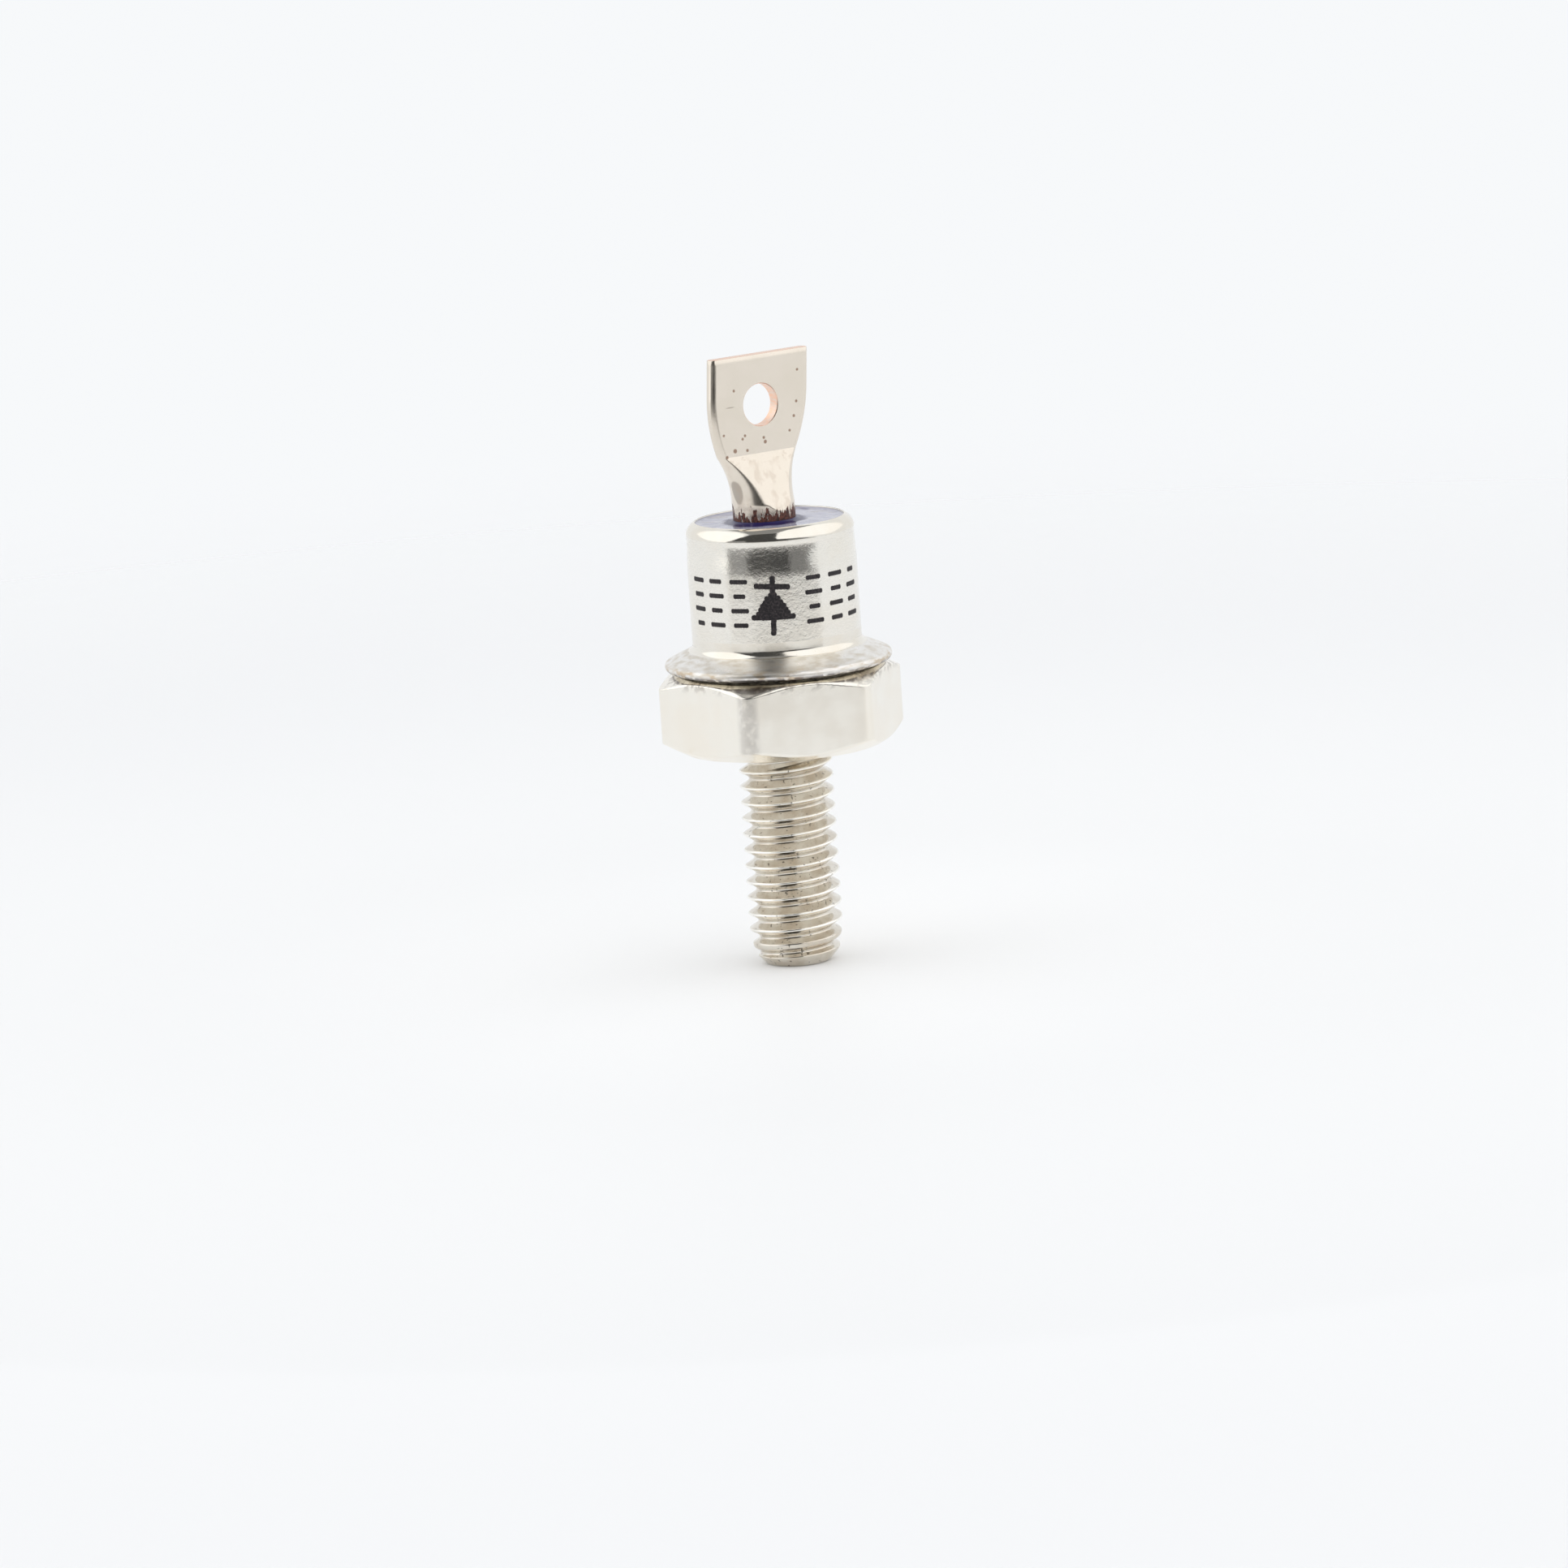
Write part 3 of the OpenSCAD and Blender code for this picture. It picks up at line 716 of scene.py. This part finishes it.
def make_lacquer(m):
    """Lacquer over the glass, wetting the lip and creeping up the tube."""
    levels = 26
    rings = []
    count = 160

    def edge_point(a, share):
        """Point between the tube's surface (share 0) and the bore (share 1)."""
        inner = Vector((TUBE_X + TUBE_R * math.cos(a), TUBE_R * math.sin(a)))
        outer = Vector((BORE_R * math.cos(a), BORE_R * math.sin(a)))
        return inner.lerp(outer, share)

    for i in range(levels + 1):
        share = (i / levels) ** 1.4
        ring = []
        for k in range(count):
            p = edge_point(2 * math.pi * k / count, share)
            from_tube = math.dist(p, (TUBE_X, 0)) - TUBE_R
            from_lip = BORE_R - p.length
            rise = LACQUER_RISE * math.exp(-from_tube / LACQUER_CREEP)
            rise += LIP_RISE * math.exp(-from_lip / LIP_CREEP)
            ripple = RIPPLE * noise.noise(Vector((p.x * 1.1, p.y * 1.1, 0.3)))
            ripple *= smooth(from_tube, 0.0, 0.5) * smooth(from_lip, 0.0, 0.4)
            ring.append((p.x, p.y, LACQUER_Z - 0.03 + rise + ripple))
        rings.append(ring)
    low_z = LACQUER_Z - LACQUER_T
    for share in (1.0, 0.0):
        ring = []
        for k in range(count):
            p = edge_point(2 * math.pi * k / count, share)
            ring.append((p.x, p.y, low_z))
        rings.append(ring)
    obj = skin("seal_lacquer_finished", rings, [m["lacquer"]], wrap=True)
    return finish_piece(obj, "seal_lacquer")


# Terminal

def down_ramp(z):
    """Share of the ramp below the crease: 0 at the crease and 1 where the tube is round."""
    return (CREASE_Z - z) / (CREASE_Z - ROUND_Z)


def half_width(z):
    """Half width of the terminal along X."""
    if z > CREASE_Z:
        return LUG_W / 2 - (LUG_W - CREASE_W) / 2 * max(0.0, 1 - (z - CREASE_Z) / FLARE_LEN) ** 2
    return TUBE_R + (CREASE_W / 2 - TUBE_R) * (1 - down_ramp(z)) ** WIDEN_POWER


def half_thickness(z):
    """Half thickness of the terminal along Y."""
    if z > CREASE_Z:
        return LUG_T / 2
    return LUG_T / 2 + (TUBE_R - LUG_T / 2) * down_ramp(z)


def half_flat(z):
    """Half width of the flat that the press left, which narrows down the ramp."""
    w = half_width(z)
    t = half_thickness(z)
    if z > CREASE_Z:
        r = t + (LUG_EDGE_R - t) * min(1.0, (z - CREASE_Z) / FLARE_LEN)
        return w - r + math.sqrt(r * r - t * t)
    full = CREASE_W / 2 - LUG_T / 2
    pressed = NECK_FLAT + (full - NECK_FLAT) * (1 - down_ramp(z)) ** FLAT_POWER
    return min(pressed, math.sqrt(max(0.0, w * w - t * t)))


def centre_x(z):
    """X of the terminal's middle, which leans with the lug."""
    if z > CREASE_Z:
        return TUBE_X + CREASE_SHIFT + tan_deg(LUG_LEAN) * (z - CREASE_Z)
    return TUBE_X + CREASE_SHIFT * (1 - clamp(down_ramp(z)))


def section(z, side_steps=24):
    """Outline of the terminal: round sides joined by flats."""
    if z <= ROUND_Z:
        w = t = TUBE_R
        f = 0.0
    else:
        w = half_width(z)
        t = half_thickness(z)
        f = half_flat(z)
    r = ((w - f) ** 2 + t * t) / (2 * (w - f))
    reach = math.degrees(math.atan2(t, f - w + r))
    right = arc(w - r, 0, r, -reach, reach, side_steps)
    left = arc(r - w, 0, r, 180 - reach, 180 + reach, side_steps)
    top = [(f * (1 - 2 * share), t) for share in (0.02, 0.06, 0.2, 0.5, 0.8, 0.94, 0.98)]
    low = [(-x, -t) for x, _ in top]
    x0 = centre_x(z) if z > ROUND_Z else TUBE_X
    return [(x0 + x, y, z) for x, y in right + top + left + low]


def scaled_ring(ring, z, inset):
    """A ring pulled in a little, for the softened sheared edge."""
    cx = centre_x(z)
    return [
        (cx + (x - cx) * (1 - inset / (LUG_W / 2)), y * (1 - inset / (LUG_T / 2)), z) for x, y, _ in ring
    ]


def cut(obj, cutter):
    """Boolean difference, with the cutter removed after it."""
    modifier = obj.modifiers.new("cut", "BOOLEAN")
    modifier.operation = "DIFFERENCE"
    modifier.solver = "EXACT"
    modifier.object = cutter
    modifier.material_mode = "TRANSFER"
    bpy.context.view_layer.update()
    graph = bpy.context.evaluated_depsgraph_get()
    mesh = bpy.data.meshes.new_from_object(obj.evaluated_get(graph))
    obj.modifiers.clear()
    obj.data = mesh
    bpy.data.objects.remove(cutter)
    return obj


def make_terminal(m):
    """Tube pressed flat and pierced, with bare copper where it was cut."""
    heights = [TUBE_LOW_Z, TUBE_LOW_Z + 1, LIP_Z - 0.4]
    heights += [LIP_Z - 0.3 + 0.1 * i for i in range(10)]
    heights += [ROUND_Z + (CREASE_Z - ROUND_Z) * i / 46 for i in range(1, 47)]
    heights += [CREASE_Z + 0.03 + (FLARE_LEN - 0.03) * i / 24 for i in range(25)]
    flare_top = CREASE_Z + FLARE_LEN
    heights += [flare_top + (TOP_Z - 0.05 - flare_top) * i / 8 for i in range(1, 9)]
    rings = [section(z) for z in heights]
    last = len(rings)
    rings.append(scaled_ring(rings[-1], TOP_Z - 0.015, 0.02))
    rings.append(scaled_ring(rings[-2], TOP_Z, 0.06))
    obj = skin("terminal_lug", rings, [m["lug"], m["copper"]], slot_of=lambda k: 0 if k < last else 1)
    cut(obj, bore_cutter(m))
    cut(obj, hole_cutter(m))
    for polygon in obj.data.polygons:
        polygon.use_smooth = True
    obj.data.set_sharp_from_angle(angle=math.radians(38))
    return finish_piece(obj, "terminal_tube")


def bore_cutter(m):
    """Cylinder that cuts the tube's bore up to the neck."""
    rings = [circle(TUBE_X, 0, TUBE_R - TUBE_WALL, z, 64) for z in (TUBE_LOW_Z - 1, ROUND_Z)]
    return skin("bore_cutter", rings, [m["copper"]])


def hole_cutter(m):
    """Round punch along Y, flared a little at both faces."""
    count = 96
    face = LUG_T / 2
    cx = centre_x(HOLE_Z)
    steps = [(-2.0, HOLE_FLARE), (-face - 0.01, HOLE_FLARE), (-face + HOLE_FLARE, 0.0)]
    steps += [(-y, extra) for y, extra in reversed(steps)]
    rings = []
    for y, extra in steps:
        r = HOLE_R + extra
        rings.append([
            (cx - r * math.cos(2 * math.pi * i / count), y, HOLE_Z + r * math.sin(2 * math.pi * i / count))
            for i in range(count)
        ])
    return skin("hole_cutter", rings, [m["copper"]])


# Marking

def diode_symbol():
    """Dots of the diode's symbol, about its own centre: bar and point at the top, leads both ways."""
    dots = spaced((0.05, 1.50), (0.0, 0.4), DOT_PITCH)
    dots += spaced((-0.95, 1.08), (0.95, 0.95), DOT_PITCH)
    halves = (0.10, 0.33, 0.46, 0.64, 0.77, 0.90)
    for k, half in enumerate(halves):
        z = 0.50 - 0.228 * k
        dots += spaced((-half, z), (half, z - 0.02 * half), TRIANGLE_PITCH)
    dots += spaced((-1.20, -0.87), (1.20, -0.90), 0.18)
    dots += spaced((0.0, -0.9), (-0.06, -1.84), DOT_PITCH)
    return dots


def plain_dashes(widths):
    """Dots of a block of level dashes, one above another: a generic printed mark."""
    dots = []
    for k, width in enumerate(widths):
        z = DASH_SPAN / 2 - DASH_SPAN * k / (len(widths) - 1)
        dots += spaced((-width / 2, z), (width / 2, z), DOT_PITCH)
    return dots


def stamp(dots, azimuth, height, radius):
    """Cells of a fine grid that printed dots cover, as (row, column) keys."""
    reach = round(radius / INK_CELL)
    centre = math.radians(azimuth) * CAP_R
    cells = set()
    for u, z in dots:
        column = round((centre + u) / INK_CELL)
        row = round((height + z) / INK_CELL)
        for i in range(-reach, reach + 1):
            for j in range(-reach, reach + 1):
                if i * i + j * j <= reach * reach:
                    cells.add((row + i, column + j))
    return cells


def make_ink(m):
    """Printed marks as one thin skin on the cap: the diode's symbol and plain dashes beside it."""
    cells = stamp(diode_symbol(), SYMBOL_AZIMUTH, SYMBOL_Z, SYMBOL_DOT)
    for azimuth, widths in INK_BLOCKS:
        cells |= stamp(plain_dashes(widths), azimuth, SYMBOL_Z, DASH_DOT)
    verts = []
    places = {}

    def vertex(row, column, layer):
        key = (row, column, layer)
        if key not in places:
            a = column * INK_CELL / CAP_R
            r = CAP_R + (INK_T if layer else -INK_T)
            places[key] = len(verts)
            verts.append(Vector((r * math.cos(a), r * math.sin(a), row * INK_CELL)) * MM)
        return places[key]

    faces = []
    for row, column in sorted(cells):
        corners = [(row, column), (row, column + 1), (row + 1, column + 1), (row + 1, column)]
        faces.append([vertex(*c, 1) for c in corners])
        faces.append([vertex(*c, 0) for c in reversed(corners)])
        beside = [(row - 1, column), (row, column + 1), (row + 1, column), (row, column - 1)]
        for k, other in enumerate(beside):
            if other not in cells:
                a = corners[k]
                b = corners[(k + 1) % 4]
                faces.append([vertex(*a, 0), vertex(*b, 0), vertex(*b, 1), vertex(*a, 1)])
    mesh = bpy.data.meshes.new("ink_marks")
    mesh.from_pydata(verts, [], faces)
    mesh.materials.append(m["ink"])
    return finish_piece(link_object("ink_marks", mesh), slot="cap_shell")


# Stage, lights and camera

def make_stage():
    """Round pale floor, painted lighter near the part against the part's shade, that fades out into the
    white surround.
    """
    rings = [circle(0, 0, r, END_Z, 96) for r in FLOOR_RADII]
    s = Shader("pale_floor", Metallic=0.0, Roughness=0.6)
    s.surface.inputs["Specular IOR Level"].default_value = 0.2
    radius = s.from_axis()
    # Painted light: the floor's colour is lightest next to the part and darkens outwards, lifting the shade
    # that the part casts round its foot.
    colour = s.mix(s.ramp(radius, 0.004, 0.045), (0.975, 0.977, 0.98), (0.915, 0.92, 0.925))
    colour = s.mix(s.ramp(radius, 0.05, 0.13), colour, (0.885, 0.89, 0.90))
    s.done(colour)
    fade = s.ramp(radius, 0.11, 0.24)
    clear = s.add("ShaderNodeBsdfTransparent")
    blend = s.add("ShaderNodeMixShader", _0=fade, _1=s.surface.outputs[0], _2=clear.outputs[0])
    s.tree.links.new(blend.outputs[0], s.tree.nodes["Material Output"].inputs["Surface"])
    floor = skin("floor", rings, [s.material], caps=(True, False))
    return floor


def direction(turn, rise):
    """Unit vector at an azimuth right of the camera and an elevation, in degrees."""
    a = math.radians(CAMERA_AZIMUTH + turn)
    e = math.radians(rise)
    return Vector((math.sin(a) * math.cos(e), -math.cos(a) * math.cos(e), math.sin(e)))


def add_card(name, verts, columns, level, lit=False):
    """Glowing stage piece over rows of points. Only reflections see it where it isn't lit."""
    rows = len(verts) // columns
    faces = [
        (k * columns + i, k * columns + i + 1, (k + 1) * columns + i + 1, (k + 1) * columns + i)
        for k in range(rows - 1) for i in range(columns - 1)
    ]
    mesh = bpy.data.meshes.new(name)
    mesh.from_pydata(verts, [], faces)
    s = Shader(name, Roughness=1.0)
    s.surface.inputs["Specular IOR Level"].default_value = 0.0
    s.surface.inputs["Emission Color"].default_value = (1.0, 1.0, 1.0, 1)
    strength = level(s) if callable(level) else level
    s.put(s.surface.inputs["Emission Strength"], strength)
    s.done(s.mix(s.noise(200), (0.01, 0.01, 0.01), (0.02, 0.02, 0.02)))
    mesh.materials.append(s.material)
    card = link_object(name, mesh)
    card.visible_camera = False
    card.visible_shadow = False
    card.visible_diffuse = lit
    return card


def make_card(name, rows, distance, level, lit=False):
    """Studio card of rows (rise, from, to): rises over the camera's side and sideways shares, -1 to 1.

    A rise over 90 degrees is behind the part.
    """
    count = 16
    front = direction(0, 0)
    side = direction(90, 0)
    verts = []
    for rise, start, end in rows:
        along = front * math.cos(math.radians(rise)) + Vector((0, 0, math.sin(math.radians(rise))))
        for i in range(count + 1):
            share = start + (end - start) * i / count
            verts.append((side * share + along * math.sqrt(1 - share * share)) * distance * MM)
    return add_card(name, verts, count + 1, level, lit)


def make_ground(name, start, end, levels):
    """Sector of the ground in front, between two turns from the camera, with (radius, level) stops."""
    count = 24
    verts = []
    for r, _ in levels:
        for i in range(count + 1):
            flat = direction(start + (end - start) * i / count, 0) * r
            verts.append(Vector((flat.x, flat.y, END_Z + GROUND_LIFT)) * MM)

    def level_at(s):
        """Level that follows the stops outwards."""
        radius = s.length(s.place)
        strength = levels[0][1]
        for (r0, _), (r1, level) in zip(levels, levels[1:]):
            blend = s.add("ShaderNodeMix", Factor=s.ramp(radius, r0 * MM, r1 * MM))
            s.put(blend.inputs[2], strength)
            s.put(blend.inputs[3], level)
            strength = blend.outputs[0]
        return strength

    return add_card(name, verts, count + 1, level_at)


def make_world():
    """Plain white surround, a little stronger for the camera, metal and glass than for the part's light."""
    world = bpy.data.worlds.new("studio")
    bpy.context.scene.world = world
    world.use_nodes = True
    tree = world.node_tree
    background = tree.nodes["Background"]
    background.inputs["Color"].default_value = (*WORLD_COLOUR, 1)
    path = tree.nodes.new("ShaderNodeLightPath")
    seen = path.outputs["Is Camera Ray"]
    for ray in ("Is Glossy Ray", "Is Transmission Ray"):
        add = tree.nodes.new("ShaderNodeMath")
        add.operation = "ADD"
        add.use_clamp = True
        tree.links.new(seen, add.inputs[0])
        tree.links.new(path.outputs[ray], add.inputs[1])
        seen = add.outputs[0]
    strength = tree.nodes.new("ShaderNodeMapRange")
    strength.inputs["To Min"].default_value = WORLD_ON_PART
    strength.inputs["To Max"].default_value = WORLD_SEEN
    tree.links.new(seen, strength.inputs["Value"])
    tree.links.new(strength.outputs[0], background.inputs["Strength"])


def make_camera():
    """Camera of the photograph: fitted place, roll and lens, aimed so that the origin lands on its pixel."""
    back = direction(0, CAMERA_ELEVATION)
    right = direction(90, 0)
    up = back.cross(right)
    turn = Matrix((right, up, back)).transposed()
    roll = Matrix.Rotation(math.radians(CAMERA_ROLL), 3, "Z")
    centre = IMAGE_PIXELS / 2
    pitch = Matrix.Rotation(math.atan((ORIGIN_PIXEL[1] - centre) / FOCAL_PIXELS), 3, "X")
    yaw = Matrix.Rotation(math.atan((ORIGIN_PIXEL[0] - centre) / FOCAL_PIXELS), 3, "Y")
    data = bpy.data.cameras.new("camera")
    data.sensor_width = SENSOR_MM
    data.lens = FOCAL_PIXELS / IMAGE_PIXELS * SENSOR_MM
    data.clip_start = 0.01
    data.clip_end = 10.0
    camera = bpy.data.objects.new("camera", data)
    place = Matrix.Translation(back * CAMERA_DISTANCE * MM)
    camera.matrix_world = place @ (turn @ roll @ pitch @ yaw).to_4x4()
    bpy.context.scene.collection.objects.link(camera)
    bpy.context.scene.camera = camera
    return camera


def dress_inner_nodes():
    """Materials of the sealed pieces, which keep their CAD shapes."""
    solder = Shader("lead_solder_grey", Metallic=1.0)
    solder.done(solder.mix(solder.noise(0.4), (0.52, 0.53, 0.56), (0.66, 0.67, 0.70)), 0.45)
    moly = Shader("molybdenum", Metallic=1.0)
    moly.done(moly.mix(moly.noise(0.3), (0.42, 0.43, 0.45), (0.55, 0.56, 0.58)), 0.32)
    silicon = Shader("silicon", Metallic=0.7)
    silicon.done(silicon.mix(silicon.noise(0.5), (0.10, 0.11, 0.15), (0.16, 0.17, 0.21)), 0.2)
    copper = Shader("lead_copper", Metallic=1.0)
    copper.done(copper.mix(copper.noise(0.5), (0.86, 0.48, 0.33), (0.93, 0.60, 0.46)), 0.3)
    silicone = Shader("silicone", Metallic=0.0)
    silicone.done(silicone.mix(silicone.noise(0.6), (0.80, 0.80, 0.76), (0.88, 0.88, 0.84)), 0.5)
    glass = Shader("seal_glass", Metallic=0.0)
    glass.surface.inputs["Transmission Weight"].default_value = 0.6
    glass.done(glass.mix(glass.noise(0.6), (0.36, 0.42, 0.45), (0.46, 0.52, 0.54)), 0.1)
    chosen = {
        "glass_seal": glass, "inner_lead": copper, "junction_coat": silicone, "silicon_die": silicon,
        "lower_disc": moly, "upper_disc": moly, "lower_solder": solder, "die_solder": solder,
        "top_solder": solder, "lead_solder": solder,
    }
    for node, shader in chosen.items():
        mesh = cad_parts[node].data
        mesh.materials.clear()
        mesh.materials.append(shader.material)


materials = make_materials()
make_base(materials)
make_cap(materials)
make_lacquer(materials)
make_terminal(materials)
make_ink(materials)
dress_inner_nodes()

make_world()
make_stage()
make_card("front_gap", FRONT_GAP, GAP_DISTANCE, FRONT_GAP_LEVEL)
make_card("gap_haze", GAP_HAZE, HAZE_DISTANCE, GAP_HAZE_LEVEL)
make_card("right_haze", RIGHT_HAZE, HAZE_DISTANCE, RIGHT_HAZE_LEVEL)
make_card("top_gap", TOP_GAP, GAP_DISTANCE, TOP_GAP_LEVEL)
make_card("left_softbox", LEFT_SOFTBOX, SOFTBOX_DISTANCE, LEFT_LEVEL, lit=True)
make_card("right_softbox", RIGHT_SOFTBOX, SOFTBOX_DISTANCE, RIGHT_LEVEL, lit=True)
make_ground("ground_left", GROUND_TURNS[0], GROUND_TURNS[1], LEFT_GROUND)
make_ground("ground_right", GROUND_TURNS[1], GROUND_TURNS[2], RIGHT_GROUND)
make_camera()
bpy.context.scene.view_settings.view_transform = "Standard"
